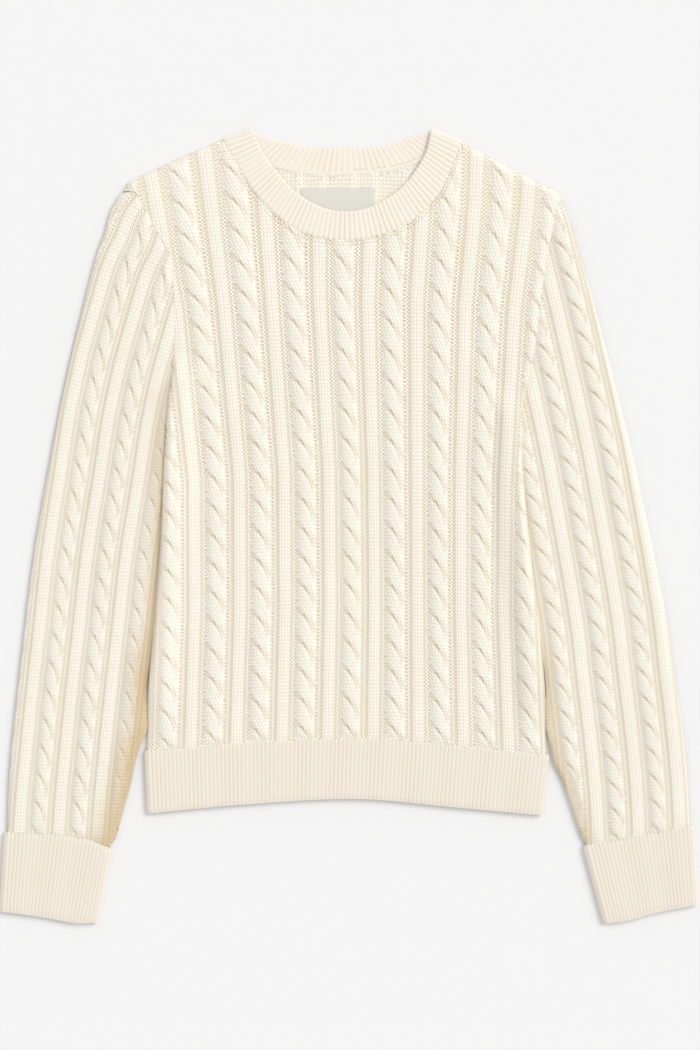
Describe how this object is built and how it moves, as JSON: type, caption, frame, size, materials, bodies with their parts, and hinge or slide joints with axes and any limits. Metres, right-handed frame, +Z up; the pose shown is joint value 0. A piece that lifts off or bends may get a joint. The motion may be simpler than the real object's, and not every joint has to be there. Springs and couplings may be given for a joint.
{
  "type": "cable knit sweater",
  "caption": "Cream crew-neck cable knit sweater laid flat, face up, with long sleeves, ribbed cuffs, hem and neckband.",
  "frame": {"origin": "on the surface the sweater lies on, under the middle of its outline", "axes": "+Z up out of the surface, +Y towards the neck, +X towards the wearer's left"},
  "size_m": [0.6014, 0.6902, 0.015],
  "materials": {
    "cable_knit": "soft matte wool-blend knit, cream",
    "rib_knit": "soft matte rib knit, cream",
    "neck_rib": "soft matte rib knit, pale cream",
    "label_tape": "smooth woven tape, grey-beige, bare"
  },
  "bodies": {
    "root": {"front_panel": "cable_knit", "back_panel": "cable_knit", "sleeve_left": "cable_knit", "sleeve_right": "cable_knit", "hem_rib": "rib_knit", "cuff_left": "rib_knit", "cuff_right": "rib_knit", "neckband": "neck_rib", "neck_label": "label_tape"}
  },
  "joints": []
}
